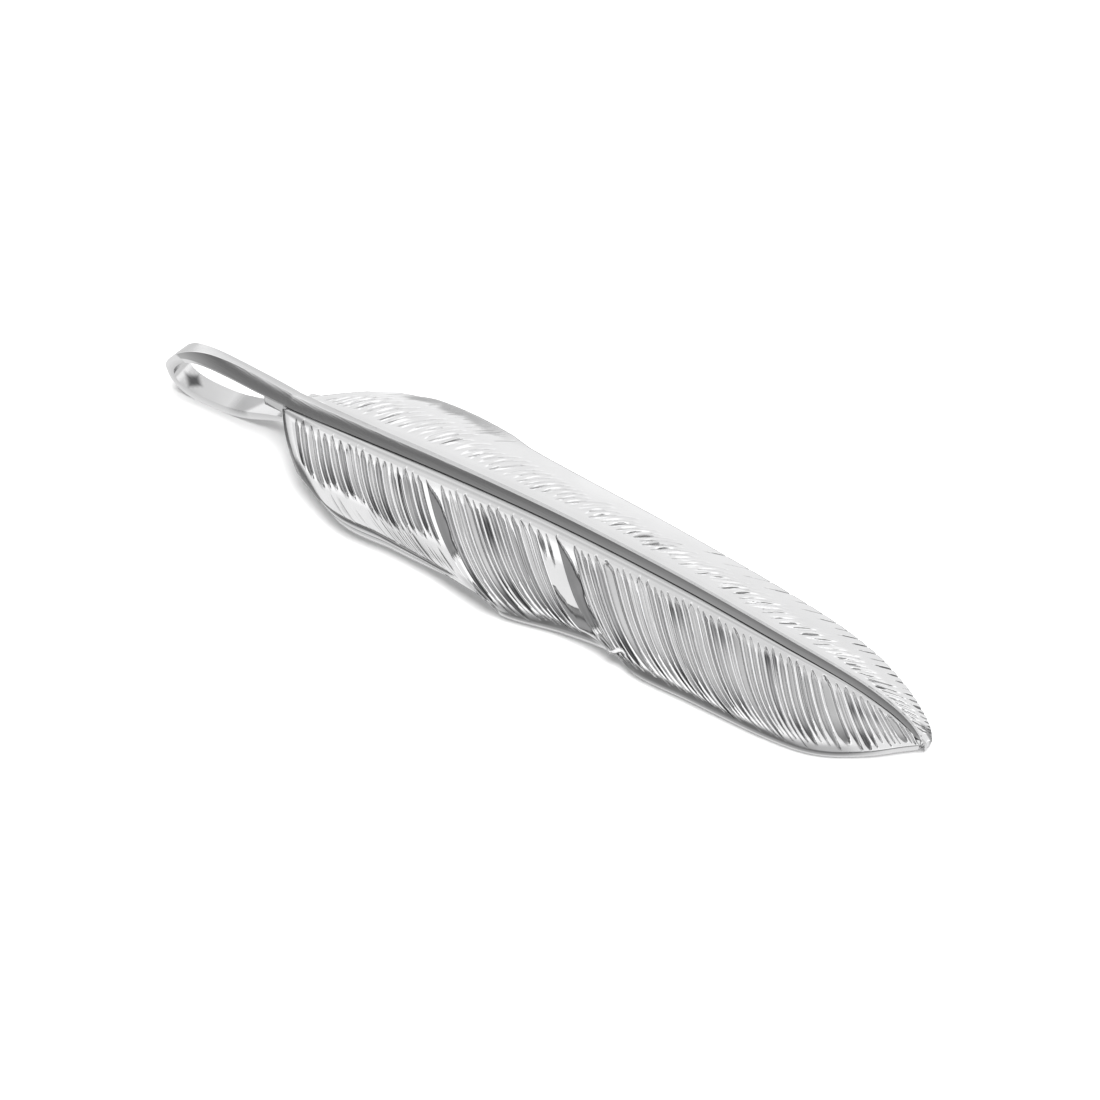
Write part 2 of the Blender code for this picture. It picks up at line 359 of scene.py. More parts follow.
@dataclass
class FeatherForm:
    """The smooth form of the plate, before it is carved."""

    near_strip: Curve = Curve((
        (0.0, 1.2), (5.0, 1.6), (12.0, 1.75), (25.0, 1.6), (35.0, 1.4), (46.0, 1.0), (54.0, 0.55),
        (56.7, 0.2)))
    far_strip: Curve = Curve((
        (0.0, 0.85), (4.0, 1.25), (8.0, 1.35), (25.0, 1.25), (38.0, 1.05), (48.0, 0.8), (54.0, 0.45),
        (56.7, 0.2)))
    near_outline: Curve = Curve((
        (0.0, 3.9, -4.05, 2.05), (2.0, 8.6, -5.72, 1.5), (5.0, 13.4, -5.55, 1.27),
        (9.0, 18.2, -5.65, 1.15), (12.6, 22.2, -6.05, 1.12), (14.0, 24.0, -6.25, 1.1),
        (18.5, 28.4, -5.25, 1.03), (24.0, 32.8, -5.0, 0.98), (26.0, 35.2, -5.6, 0.95),
        (30.0, 39.5, -5.5, 0.9), (38.0, 46.8, -5.24, 0.81), (44.0, 50.6, -4.5, 0.79),
        (49.0, 53.8, -2.6, 0.79), (53.0, 56.0, -0.65, 0.8), (56.7, 56.95, 0.12, 0.82)))
    far_outline: Curve = Curve((
        (0.0, 3.8, 5.7, 2.3), (2.0, 5.6, 7.4, 1.65), (5.0, 8.6, 8.45, 1.33), (9.0, 12.6, 8.8, 1.2),
        (15.0, 18.8, 8.4, 1.14), (27.0, 31.6, 7.9, 0.98), (38.0, 43.6, 6.95, 0.86),
        (45.0, 49.6, 5.8, 0.82), (50.0, 53.6, 4.1, 0.8), (54.0, 56.4, 2.2, 0.8), (56.7, 57.4, 0.95, 0.82)))
    # two points that pull a barb from the straight line, as shares of its reach along and across
    near_sweep: Curve = Curve((
        (0.0, 0.27, 0.39, 0.6, 0.72), (3.0, 0.2, 0.33, 0.45, 0.8), (9.0, 0.14, 0.27, 0.38, 0.88),
        (12.5, 0.17, 0.26, 0.46, 0.8), (18.0, 0.2, 0.24, 0.5, 0.9), (23.5, 0.2, 0.24, 0.5, 0.86),
        (26.0, 0.2, 0.26, 0.5, 0.76), (30.0, 0.2, 0.25, 0.48, 0.82), (36.0, 0.2, 0.24, 0.48, 0.86),
        (44.0, 0.22, 0.28, 0.5, 0.8), (50.0, 0.28, 0.33, 0.6, 0.7), (56.7, 0.33, 0.33, 0.67, 0.67)))
    far_sweep: Curve = Curve((
        (0.0, 0.33, 0.33, 0.67, 0.67), (4.0, 0.25, 0.4, 0.58, 0.73), (35.0, 0.25, 0.4, 0.58, 0.73),
        (56.7, 0.33, 0.33, 0.67, 0.67)))
    far_setback: float = 0.9         # how far back the first far barb leaves the shaft
    tip_bulge: float = 0.5           # how far the tip runs on, over the last stretch of the shaft
    tip_stretch: float = 1.4
    panel_lift: float = 0.14         # rise of the outline where a panel ends
    panel_sink: float = 0.1          # and how low it is where the next one begins
    panel_curl: float = 7.0          # length of shaft over which it rises or comes back up
    panel_fall: float = 0.9          # length of shaft over which it falls between them
    even_fall: float = 0.75          # share of a barb's fall that is straight, the rest is arched

    def near_edge(self, place: Array) -> Array:
        """Outline points of the near vane, lifted where a panel ends and low where the next begins.

        Args:
            place: places on the shaft, in mm.

        Returns:
            One point for each place.
        """
        edge = self.near_outline.at(place)
        lift = np.zeros_like(place)
        for split in SPLITS:
            rising = smooth_step(split - self.panel_curl, split, place)
            fallen = smooth_step(split, split + self.panel_fall, place)
            sunk = fallen * fade(split, split + self.panel_curl, place)
            lift += self.panel_lift * rising * (1.0 - fallen) - self.panel_sink * sunk
        edge[..., 2] += lift
        return edge

    def vane(self, side: Vane, place: Array, along: Array) -> Array:
        """Points of one smooth vane, on the barbs that sweep from the quill to the outline.

        Args:
            side: which vane.
            place: places on the shaft, in mm.
            along: places across the vane, from 0 at the quill to 1 at the outline.

        Returns:
            Points, with a row for each place and a column for each place across.
        """
        near = side is Vane.NEAR
        strip = (self.near_strip if near else self.far_strip).at(place)
        base = self.ahead(place)
        if not near:
            base = base + self.far_setback * fade(0.0, 4.0, place)
        root = np.stack([base, SHAFT_LINE.at(place) + side.value * strip, SPINE_HEIGHT.at(place)], axis=-1)
        edge = self.near_edge(place) if near else self.far_outline.at(place)
        sweep = (self.near_sweep if near else self.far_sweep).at(place)[:, None, :]
        t = along[None, :]
        early = 3 * t * (1 - t) ** 2
        late = 3 * t ** 2 * (1 - t)
        forward = early * sweep[..., 0] + late * sweep[..., 2] + t ** 3
        across = early * sweep[..., 1] + late * sweep[..., 3] + t ** 3
        fall = self.even_fall * across + (1.0 - self.even_fall) * across ** 2
        return root[:, None] + (edge - root)[:, None] * np.stack([forward, across, fall], axis=-1)

    def ahead(self, place: Array) -> Array:
        """Places along the feather for places on the shaft, which run a little further at the tip."""
        return place + self.tip_bulge * smooth_step(SHAFT_LENGTH - self.tip_stretch, SHAFT_LENGTH, place)

    def strip(self, place: Array, share: Array) -> Array:
        """Points of the smooth band under and beside the quill.

        Args:
            place: places on the shaft, in mm.
            share: places across it, from 0 at the near barbs to 1 at the far barbs.

        Returns:
            Points, with a row for each place and a column for each share.
        """
        low = SHAFT_LINE.at(place) - self.near_strip.at(place)
        high = SHAFT_LINE.at(place) + self.far_strip.at(place)
        across = low[:, None] + (high - low)[:, None] * share[None, :]
        shape = across.shape
        return np.stack([np.broadcast_to(self.ahead(place)[:, None], shape), across,
                         np.broadcast_to(SPINE_HEIGHT.at(place)[:, None], shape)], axis=-1)


@dataclass
class NearVane:
    """The carving of the near vane: three panels of deep barbs, parted by two splits."""

    seed: int = 11
    spacing: float = 0.7
    uneven: Pair = (0.66, 1.25)      # least and greatest gap, as shares of the spacing
    wall: Pair = (0.07, 0.12)        # half of the metal left between two cuts
    wide_share: float = 0.13         # share of the gaps that are broad and flat
    wide_from: float = 14.5          # the first broad one is past this place on the shaft
    wide_gap: float = 1.6            # how much wider they are
    depth: float = 0.25
    shallow_end: float = 9.0         # the cuts get shallower over this length before the tip
    splits: tuple[Split, ...] = (Split(SPLITS[0], 1.15, 0.0, 0.72, 0.24, 3),
                                 Split(SPLITS[1], 1.45, -0.04, 0.84, 0.28, 5))
    plate_from: float = 22.4         # the smooth piece of the second panel starts here
    plate_end: float = 0.7           # and breaks off at this place across the vane
    step_drop: float = 0.26
    step_tarnish: float = 0.8
    border_roll: float = 0.24        # how far the outlines of the second and third panels roll down
    roll_from: float = 0.84          # across the vane
    roll_until: Pair = (46.0, 52.0)  # where it fades out on the shaft
    band_tarnish: float = 0.62       # tarnish along those outlines
    lip_reach: float = 7.0           # length of shaft over which a panel's border swells into its lip
    lip_height: float = 0.34
    lip_fall: float = 0.6            # length of shaft over which the lip rounds down to the next panel
    lip_from: float = 0.82           # across the vane
    lip_width: float = 0.18
    hollow_depth: float = 0.12       # of the hollow beside each lip
    # painted shadow in the hollow under each lip
    hollow_painted_shadow: float = 0.9
    wedge_tarnish: float = 0.84
    patches: int = 30                # groups of cuts that hold more tarnish
    patch_tarnish: float = 0.7
    film: float = 0.01               # tarnish that even the high parts keep
    satin_tarnish: float = 0.3       # tarnish of the smooth borders
    line_place: float = 0.925        # the line engraved along the outline of the first panel
    line_width: float = 0.024
    line_depth: float = 0.1
    corner: float = 1.0              # width of the grey corner beside the first barb
    corner_darkening: float = 0.45
    streak_painted_shade: float = 0.7      # painted shade of the streak in the corner beside the quill at the base
    grooves: list[Groove] = field(default_factory=list)
    hairs: list[Groove] = field(default_factory=list)

    def __post_init__(self) -> None:
        """Lay out the cuts along the shaft."""
        dice = np.random.default_rng(self.seed)
        place = 1.0
        while place < SHAFT_LENGTH - 0.5:
            gap = self.spacing * dice.uniform(*self.uneven)
            wide = dice.random() < self.wide_share and place > self.wide_from
            if wide:
                gap *= self.wide_gap
            half_width = 0.5 * gap - dice.uniform(*self.wall)
            centre = place + 0.5 * gap
            if not self.blocked(centre, half_width):
                self.grooves.append(self.cut(centre, half_width, wide, dice))
            if 2.0 < centre < SPLITS[0] - 0.5:
                self.hairs += [self.border_hair(centre + shift, dice) for shift in (-0.2, 0.15)]
            if centre > SPLITS[0] + 1.5 and not self.blocked(place, 0.1):
                self.hairs.append(self.wall_hair(place, dice))
            place += gap

    def blocked(self, centre: float, half_width: float) -> bool:
        """Whether a cut would run into one of the splits.

        Args:
            centre: the place of the cut on the shaft.
            half_width: half the width of the cut.

        Returns:
            True where no cut belongs.
        """
        return any(split.place - 0.2 < centre + half_width
                   and centre - half_width < split.place + 0.8 * split.width for split in self.splits)

    def cut(self, centre: float, half_width: float, wide: bool, dice: np.random.Generator) -> Groove:
        """One cut of the gouge with the uneven length of handwork.

        Args:
            centre: the place of the cut on the shaft.
            half_width: half the width of the cut.
            wide: whether it is one of the broad flat gaps.
            dice: the source of the unevenness.

        Returns:
            The cut.
        """
        shallower = (SHAFT_LENGTH - centre) / self.shallow_end + 0.25
        depth = self.depth * dice.uniform(0.75, 1.2) * min(1.0, shallower)
        if centre < SPLITS[0]:
            # short of the smooth border of the first panel
            end = dice.uniform(0.57, 0.69)
            run_out = 0.05
        elif self.plate_from < centre < SPLITS[1]:
            # short of the smooth piece of the second panel
            end = dice.uniform(0.28, 0.36)
            run_out = 0.15
        else:
            end = dice.uniform(0.9, 1.0)
            run_out = dice.uniform(0.08, 0.35)
        return Groove(centre, half_width, start=dice.uniform(-0.03, 0.02), end=end, depth=depth,
                      floor=0.6 if wide else dice.uniform(0.0, 0.4), run_in=dice.uniform(0.08, 0.2),
                      run_out=run_out, tarnish=0.75 if wide else dice.uniform(0.45, 1.0), point=0.8)

    @staticmethod
    def border_hair(place: float, dice: np.random.Generator) -> Groove:
        """One faint line across the smooth border of the first panel."""
        start = dice.uniform(0.62, 0.78)
        return Groove(place, half_width=dice.uniform(0.06, 0.1), start=start, end=dice.uniform(0.86, 0.93),
                      depth=dice.uniform(0.006, 0.02), run_in=0.1, tarnish=dice.uniform(0.08, 0.34))

    @staticmethod
    def wall_hair(place: float, dice: np.random.Generator) -> Groove:
        """One fine cut in the metal between two barbs."""
        start = dice.uniform(0.02, 0.3)
        return Groove(place, half_width=dice.uniform(0.05, 0.08), start=start,
                      end=start + dice.uniform(0.2, 0.6), depth=dice.uniform(0.04, 0.1), run_in=0.15,
                      tarnish=0.8, point=0.8)

    def columns(self) -> Array:
        """Places on the shaft that catch the edges and the floor of every cut.

        Returns:
            Places in mm, from the base to the tip.
        """
        edge = np.array([0.14, 0.42, 0.66, 0.84, 0.95, 1.02])
        across = np.concatenate([-edge[::-1], edge])
        places = [np.linspace(0.0, SHAFT_LENGTH, 150)]
        places += [groove.place + groove.half_width * across for groove in self.grooves]
        for split in self.splits:
            places.append(split.place + np.array([-0.3, -0.12, -0.04, 0.0, 0.015, 0.03, 0.06]))
            places.append(split.place + split.width * np.linspace(0.1, 1.25, 26))
        merged = np.sort(np.clip(np.concatenate(places), 0.0, SHAFT_LENGTH))
        least_gap = 0.012
        kept = [merged[0]]
        for place in merged[1:]:
            if place - kept[-1] > least_gap:
                kept.append(place)
        kept[-1] = SHAFT_LENGTH
        return np.array(kept)

    def patchwork(self, carving: Relief) -> Array:
        """Where groups of neighbouring cuts hold more tarnish.

        Args:
            carving: the places on the vane.

        Returns:
            1 in the middle of a group and 0 away from all of them.
        """
        dice = np.random.default_rng(self.seed + 1)
        dark = np.zeros_like(carving.height)
        for _ in range(self.patches):
            middle = dice.uniform(5.0, 54.0)
            across = dice.choice((0.17, 0.3, 0.82)) + dice.uniform(-0.06, 0.06)
            length = dice.uniform(0.5, 1.2)
            dark = np.maximum(dark, hump(middle, length, carving.place) * hump(across, 0.13, carving.along))
        return dark

    def relief(self, place: Array, along: Array) -> Relief:
        """Carve the vane.

        Args:
            place: places on the shaft, in mm.
            along: places across the vane, from 0 to 1.

        Returns:
            The carving.
        """
        carving = Relief(place, along)
        self.gouge(carving)
        self.part_panels(carving)
        self.roll_border(carving)
        self.leave_satin(carving)
        self.line_border(carving)
        self.break_off(carving)
        self.grey_base(carving)
        carving.tarnish = np.clip(carving.tarnish, 0.0, 1.0)
        return carving

    def gouge(self, carving: Relief) -> None:
        """Cut the barbs, darkest in their outer part and in the patches, and the fine lines.

        Args:
            carving: the carving of this vane.
        """
        patches = self.patchwork(carving)
        for groove in self.grooves:
            shape = groove.shape(carving.place, carving.along)
            carving.height = np.minimum(carving.height, -groove.depth * shape)
            outer = smooth_step(groove.end - 0.4, groove.end - 0.03, carving.along)
            deepest = 0.6 + 0.5 * outer + self.patch_tarnish * patches
            carving.darken(groove.tarnish * deepest * smooth_step(0.3, 0.95, shape))
        for hair in self.hairs:
            carving.score(hair)

    def part_panels(self, carving: Relief) -> None:
        """Cut the wedges of the splits, and raise a lip with a hollow beside each, with painted shadow in the
        hollow.

        Args:
            carving: the carving of this vane.
        """
        place = carving.place
        along = carving.along
        for split in self.splits:
            wedge = split.wedge(place, along)
            carving.height = carving.height * (1.0 - wedge) - split.depth * wedge
            carving.tarnish = carving.tarnish * (1.0 - wedge) + self.wedge_tarnish * wedge
            lip_end = split.place + self.lip_fall
            swell = smooth_step(split.place - self.lip_reach, split.place, place)
            swell = swell * fade(split.place, lip_end, place)
            outer = np.clip((along - self.lip_from) / self.lip_width, 0.0, 1.0)
            carving.height += self.lip_height * swell * outer ** 1.3
            hollow = hump(lip_end, 0.3, place) * smooth_step(0.78, 0.88, along)
            carving.height -= self.hollow_depth * hollow
            # painted shadow under the lip
            carving.darken(self.hollow_painted_shadow * hollow)

    def roll_border(self, carving: Relief) -> None:
        """Roll the outlines of the second and third panels down, and dull them.

        Args:
            carving: the carving of this vane.
        """
        place = carving.place
        rolled = np.clip((carving.along - self.roll_from) / (1.0 - self.roll_from), 0.0, 1.0) ** 2
        later = smooth_step(SPLITS[0] + 0.2, SPLITS[0] + 2.0, place)
        lip = smooth_step(SPLITS[1] - 2.0, SPLITS[1] - 0.2, place) * (place <= SPLITS[1] + 0.4)
        kept_flat = 1.0 - lip
        tip = fade(*self.roll_until, place)
        carving.height -= self.border_roll * rolled * later * kept_flat * tip
        band = smooth_step(0.87, 0.95, carving.along) * smooth_step(SPLITS[0] + 0.2, SPLITS[0] + 1.6, place)
        carving.darken(self.band_tarnish * (band * tip) * kept_flat)

    def leave_satin(self, carving: Relief) -> None:
        """Leave a satin film on the first panel's border, on the smooth piece and beside the quill.

        Args:
            carving: the carving of this vane.
        """
        place = carving.place
        along = carving.along
        satin = smooth_step(0.56, 0.66, along) * (place < SPLITS[0])
        satin = satin + (place > self.plate_from) * (place < SPLITS[1]) * smooth_step(0.25, 0.32, along)
        satin = np.maximum(satin, 0.7 * fade(0.04, 0.12, along))
        carving.darken(self.film + (self.satin_tarnish - self.film) * satin)

    def line_border(self, carving: Relief) -> None:
        """Engrave the line that follows the outline of the first panel.

        Args:
            carving: the carving of this vane.
        """
        line = hump(self.line_place, self.line_width, carving.along) * smooth_step(1.0, 3.0, carving.place)
        line = line * fade(SPLITS[0] - 3.5, SPLITS[0] - 0.5, carving.place)
        carving.height -= self.line_depth * line
        carving.darken(line)

    def break_off(self, carving: Relief) -> None:
        """Step down where the smooth piece of the second panel has broken off.

        Args:
            carving: the carving of this vane.
        """
        place = carving.place
        broken_from = self.plate_end - 0.14 * fade(self.plate_from, self.plate_from + 1.0, place)
        broken = smooth_step(broken_from, broken_from + 0.015, carving.along) * fade(0.84, 0.9, carving.along)
        step = (place > self.plate_from) * (place <= SPLITS[1]) * broken
        carving.height -= self.step_drop * step
        carving.darken(self.step_tarnish * step)

    def grey_base(self, carving: Relief) -> None:
        """Darken the corner beside the first barb, and add painted shade as a streak in the corner beside the
        quill.

        Args:
            carving: the carving of this vane.
        """
        corner = fade(0.5 * self.corner, self.corner, carving.place) * fade(0.5, 0.7, carving.along)
        streak = fade(1.5, 4.5, carving.place) * fade(0.02, 0.07, carving.along)
        carving.darken(self.corner_darkening * corner)
        # painted shade in the corner beside the quill
        carving.darken(self.streak_painted_shade * streak)


@dataclass
class FarVane:
    """The carving of the far vane: a row of lens-shaped barbs, a smooth border and short edge cuts."""

    seed: int = 23
    spacing: float = 0.74
    crown: float = 0.19
    calm_share: float = 0.3          # how much lower the barbs are in the half near the tip
    stroke_share: float = 0.7        # share of the barbs that have a fine stroke beside them
    stroke_depth: float = 0.13
    nick_depth: float = 0.05         # of the fine cuts in the outline near the base
    tick_depth: float = 0.12
    ticks_from: float = 30.5         # the first long cut in the far outline is at this place
    tick_gaps: Pair = (1.9, 0.4)     # between the first two of them, and at the tip
    curl_height: float = 0.2         # how far the far outline curls up near the base
    edge_shade: float = 0.5          # painted dark reflection along that outline
    corner_darkening: float = 0.7      # painted shade on the corner beside the tip
    lenses: list[Groove] = field(default_factory=list)
    strokes: list[Groove] = field(default_factory=list)
    ticks: list[Groove] = field(default_factory=list)

    def __post_init__(self) -> None:
        """Lay out the barbs, the strokes beside them and the cuts in the edge."""
        dice = np.random.default_rng(self.seed)
        place = 1.2
        while place < SHAFT_LENGTH - 0.8:
            gap = self.spacing * dice.uniform(0.8, 1.2)
            centre = place + 0.5 * gap
            start = dice.uniform(0.02, 0.1)
            end = dice.uniform(0.42, 0.6) + 0.25 * smooth_step(40.0, 55.0, centre)
            calm = 1.0 - self.calm_share * smooth_step(24.0, 40.0, centre)
            self.lenses.append(Groove(centre, half_width=0.56 * gap, start=start, end=end,
                                      depth=self.crown * calm * dice.uniform(0.7, 1.2),
                                      run_in=0.25, run_out=0.25))
            if dice.random() < self.stroke_share:
                stroke_end = start + dice.uniform(0.12, 0.3)
                self.strokes.append(Groove(place, half_width=dice.uniform(0.05, 0.09), start=start,
                                           end=stroke_end, depth=self.stroke_depth, run_in=0.06, run_out=0.1))
            place += gap
        for place in np.arange(2.5, 12.5, 0.34):
            self.ticks.append(Groove(place, dice.uniform(0.05, 0.09), start=dice.uniform(0.62, 0.82),
                                     end=0.97, depth=self.nick_depth, run_in=0.15,
                                     tarnish=dice.uniform(0.2, 0.8)))
        place = self.ticks_from
        while place < SHAFT_LENGTH - 0.6:
            self.ticks.append(Groove(place, dice.uniform(0.1, 0.14), start=dice.uniform(0.7, 0.82), end=1.3,
                                     depth=self.tick_depth, run_in=0.12))
            first, last = self.tick_gaps
            place += first - (first - last) * (place - self.ticks_from) / (SHAFT_LENGTH - self.ticks_from)

    def relief(self, place: Array, along: Array) -> Relief:
        """Carve the vane.

        Args:
            place: places on the shaft, in mm.
            along: places across the vane, from 0 to 1.

        Returns:
            The carving.
        """
        carving = Relief(place, along)
        for lens in self.lenses:
            carving.height = np.maximum(carving.height, self.shingle(lens, carving))
        for cut in self.strokes + self.ticks:
            carving.score(cut)
        self.finish_border(carving)
        return carving

    @staticmethod
    def shingle(lens: Groove, carving: Relief) -> Array:
        """Height of one barb, which rises gently towards the tip and drops at its far side.

        Args:
            lens: the place, size and height of the barb.
            carving: the places on the vane.

        Returns:
            The height in mm at each pair of places.
        """
        entry = np.clip((carving.along - lens.start) / lens.run_in, 0.0, 1.0)
        leave = np.clip((lens.end - carving.along) / lens.run_out, 0.0, 1.0)
        opening = np.sqrt(entry * leave)
        reach = lens.half_width * opening
        rise = np.clip((carving.place - (lens.place - reach)) / np.maximum(1.6 * reach, TINY), 0.0, 1.0)
        drop = np.clip((lens.place + reach - carving.place) / np.maximum(0.4 * reach, TINY), 0.0, 1.0)
        return lens.depth * rise * drop * opening

    def finish_border(self, carving: Relief) -> None:
        """Curl up the outline near the base, darken it with a painted dark reflection, and darken the corner
        beside the tip with painted shade.

        Args:
            carving: the carving of this vane.
        """
        place = carving.place
        along = carving.along
        curl = smooth_step(0.86, 1.0, along) * smooth_step(3.0, 5.0, place) * fade(11.5, 13.5, place)
        carving.height += self.curl_height * curl
        dice = np.random.default_rng(self.seed)
        knots = np.linspace(2.0, 14.0, 17)
        torn = np.interp(place, knots, dice.uniform(0.7, 0.86, len(knots)))
        # painted dark reflection along the curled outline, with a torn inner edge
        shade = smooth_step(torn, torn + 0.12, along) * smooth_step(2.5, 4.0, place)
        shade = shade * fade(8.5, 13.5, place) * fade(0.96, 1.0, along)
        carving.darken(self.edge_shade * shade)
        # painted shade on the corner beside the tip
        carving.darken(self.corner_darkening * smooth_step(54.4, 55.4, place) * smooth_step(0.4, 0.6, along))


@dataclass
class VanePlate:
    """The silver plate of the feather, carved on both vanes and plain polished underneath."""

    form: FeatherForm = field(default_factory=FeatherForm)
    near: NearVane = field(default_factory=NearVane)
    far: FarVane = field(default_factory=FarVane)
    base_thickness: float = 1.05
    edge_thickness: float = 0.75
    thinning: Pair = (40.0, 56.0)    # over this stretch of the shaft the whole plate gets as thin
    rim_bulge: float = 0.06
    seam_lines: Pair = (0.17, 0.29)  # the two lines beside the quill, as places on the strip
    line_depth: float = 0.02
    line_tarnish: float = 0.25
    strip_tarnish: Pair = (0.17, 0.05)   # of the near and the far side of the strip
    back_step: int = 7               # the back has one row of points for this many of the carved face
    tongue_end: float = -1.95
    tongue_half_width: float = 0.78
    tongue_corner: float = 0.12
    tongue_drop: float = 0.02        # how far its top lies under the carved face
    tongue_sides: int = 8
    # painted shade that makes the tongue between the loop's ends read as a recess
    tongue_painted_shade: float = 0.3

    def rows(self) -> tuple[Array, Array, Array]:
        """Places across the plate.

        Returns:
            Places across the near vane from its outline inwards, shares of the strip under the
            quill, and places across the far vane outwards.
        """
        near = np.concatenate([[0.0, 0.006, 0.013, 0.021, 0.031, 0.043, 0.057, 0.073, 0.092, 0.113],
                               np.linspace(0.138, 0.86, 25), np.linspace(0.882, 1.0, 8)])
        strip = np.array([0.09, 0.17, 0.23, 0.29, 0.6, 0.8, 0.92])
        far = np.concatenate([[0.0, 0.02, 0.045, 0.07, 0.1, 0.135], np.linspace(0.175, 0.82, 13),
                              np.linspace(0.86, 1.0, 5)])
        return near[::-1], strip, far

    def build(self) -> Piece:
        """Make the closed mesh of the plate.

        Returns:
            The object, with its tarnish and painted shade and the run of its barbs kept for the material.
        """
        place = self.near.columns()
        near_rows, strip_rows, far_rows = self.rows()
        smooth = self.sheet(self.form, place)
        calm = replace(self.form, panel_lift=0.0, panel_sink=0.0)
        normals = self.normals(self.sheet(calm, place))
        height, tarnish = self.carve(place)
        along = np.concatenate([-near_rows, 0.0 * strip_rows, far_rows])

        top = smooth + normals * height[..., None]
        share = np.maximum(np.abs(along)[None, :], smooth_step(*self.thinning, place)[:, None])
        thickness = self.base_thickness - (self.base_thickness - self.edge_thickness) * share
        far_start = len(near_rows) + len(strip_rows)
        under_rows = np.unique(np.r_[0:len(near_rows):self.back_step, len(near_rows) - 1,
                                     far_start:len(along):self.back_step, len(along) - 1])
        under = smooth[:, under_rows] - normals[:, under_rows] * thickness[:, under_rows, None]
        rings = self.rings(top, under)
        faces = loft_faces(len(place), rings.shape[1], clockwise=True)
        first_cap = len(faces)
        faces += self.caps(len(place), rings.shape[1], under_rows)
        first_tongue = len(faces)
        tongue = self.tongue()
        first = rings.shape[0] * rings.shape[1]
        tongue_faces = tube_faces(len(tongue) // self.tongue_sides, self.tongue_sides)
        faces += [tuple(first + index for index in face) for face in tongue_faces]
        plate = lay_mesh("carved_vanes", np.concatenate([rings.reshape(-1, 3), tongue]), faces)
        self.dress(plate, rings.shape, place, tarnish, along)
        for cap in plate.data.polygons[first_cap:first_tongue]:
            cap.use_smooth = False
        return plate

    def carve(self, place: Array) -> tuple[Array, Array]:
        """Height of the carving over the whole plate, and how much tarnish and painted shade it holds.

        Args:
            place: places on the shaft, in mm.

        Returns:
            The height in mm and the tarnish with its painted shade, with a row for each place.
        """
        near_rows, strip_rows, far_rows = self.rows()
        near = self.near.relief(place, near_rows)
        far = self.far.relief(place, far_rows)
        plain = np.zeros((len(place), len(strip_rows)))
        lines = np.isin(strip_rows, self.seam_lines)
        height = np.concatenate([near.height, plain - self.line_depth * lines, far.height], axis=1)
        height[0, :] = 0.0
        height[-1, :] = 0.0
        near_film, far_film = self.strip_tarnish
        film = np.where(strip_rows > 0.5, far_film, near_film) + self.line_tarnish * lines
        return height, np.concatenate([near.tarnish, plain + film, far.tarnish], axis=1)

    def tongue(self) -> Array:
        """Points of the tongue that the plate pushes between the ends of the loop.

        Returns:
            Rings of eight points, from inside the plate to the tongue's end.
        """
        corner = self.tongue_corner
        high = self.tongue_half_width
        low = self.base_thickness
        half = [(high - corner, 0.0), (high, -corner), (high, corner - low), (high - corner, -low)]
        outline = np.array(half + [(-y, z) for y, z in half[::-1]])
        middle = np.array([0.0, -0.5 * low])
        rings = []
        end = self.tongue_end
        for place, swell in ((0.3, 1.0), (-1.0, 1.0), (end + corner, 1.0), (end, 0.86)):
            ring = middle + (outline - middle) * swell
            top = SPINE_HEIGHT.at(place) - self.tongue_drop
            rings.append([(place, SHAFT_LINE.at(place) + y, top + z) for y, z in ring])
        return np.array(rings).reshape(-1, 3)

    def sheet(self, form: FeatherForm, place: Array) -> Array:
        """Points of the uncarved plate, from the near outline to the far one.

        Args:
            form: the smooth form.
            place: places on the shaft, in mm.

        Returns:
            Points, with a row for each place and a column for each place across.
        """
        near_rows, strip_rows, far_rows = self.rows()
        return np.concatenate([form.vane(Vane.NEAR, place, near_rows), form.strip(place, strip_rows),
                               form.vane(Vane.FAR, place, far_rows)], axis=1)

    def rings(self, top: Array, under: Array) -> Array:
        """Closed rings round the plate, one at each place on the shaft.

        Args:
            top: points of the carved face, from the near outline to the far one.
            under: points of the back, in the same order.

        Returns:
            Rings of points, with a rounded rim on both sides.
        """
        far_rim = self.rim(top[:, -1], under[:, -1], under[:, -1] - under[:, -2])
        near_rim = self.rim(under[:, 0], top[:, 0], under[:, 0] - under[:, 1])
        return np.concatenate([top, far_rim, under[:, ::-1], near_rim], axis=1)

    def rim(self, start: Array, end: Array, outward: Array) -> Array:
        """Two rows of points that round the edge between one face and the other.

        Args:
            start: the outline of the face that the ring comes from.
            end: the outline of the face that it goes to.
            outward: the way out of the plate at each place.

        Returns:
            The points of the two rows.
        """
        away = outward / np.maximum(np.linalg.norm(outward, axis=1, keepdims=True), TINY)
        rows = [start + (end - start) * share + away * self.rim_bulge for share in (0.3, 0.7)]
        return np.stack(rows, axis=1)

    @staticmethod
    def normals(points: Array) -> Array:
        """Upward normals of a sheet of points.

        Args:
            points: the sheet.

        Returns:
            One normal of length 1 for each point.
        """
        normal = np.cross(np.gradient(points, axis=0), np.gradient(points, axis=1))
        return normal / np.maximum(np.linalg.norm(normal, axis=2, keepdims=True), TINY)

    @staticmethod
    def caps(columns: int, size: int, under_rows: Array) -> Faces:
        """Faces that close the base and the tip.

        Args:
            columns: how many rings the plate has.
            size: how many points are on each ring.
            under_rows: the row of the carved face over each row of the back.

        Returns:
            The faces of both ends.
        """
        top_count = int(under_rows[-1]) + 1
        last_back = top_count + 1 + len(under_rows)      # the back runs from the far side to the near one
        loops = [[top_count - 1, top_count, top_count + 1, top_count + 2], [0, size - 3, size - 2, size - 1]]
        for step in range(len(under_rows) - 1):
            upper = range(int(under_rows[step]), int(under_rows[step + 1]) + 1)
            loops.append([*upper, last_back - step - 1, last_back - step])
        last = (columns - 1) * size
        loops += [[last + index for index in loop[::-1]] for loop in loops]
        return [tuple(loop) for loop in loops]

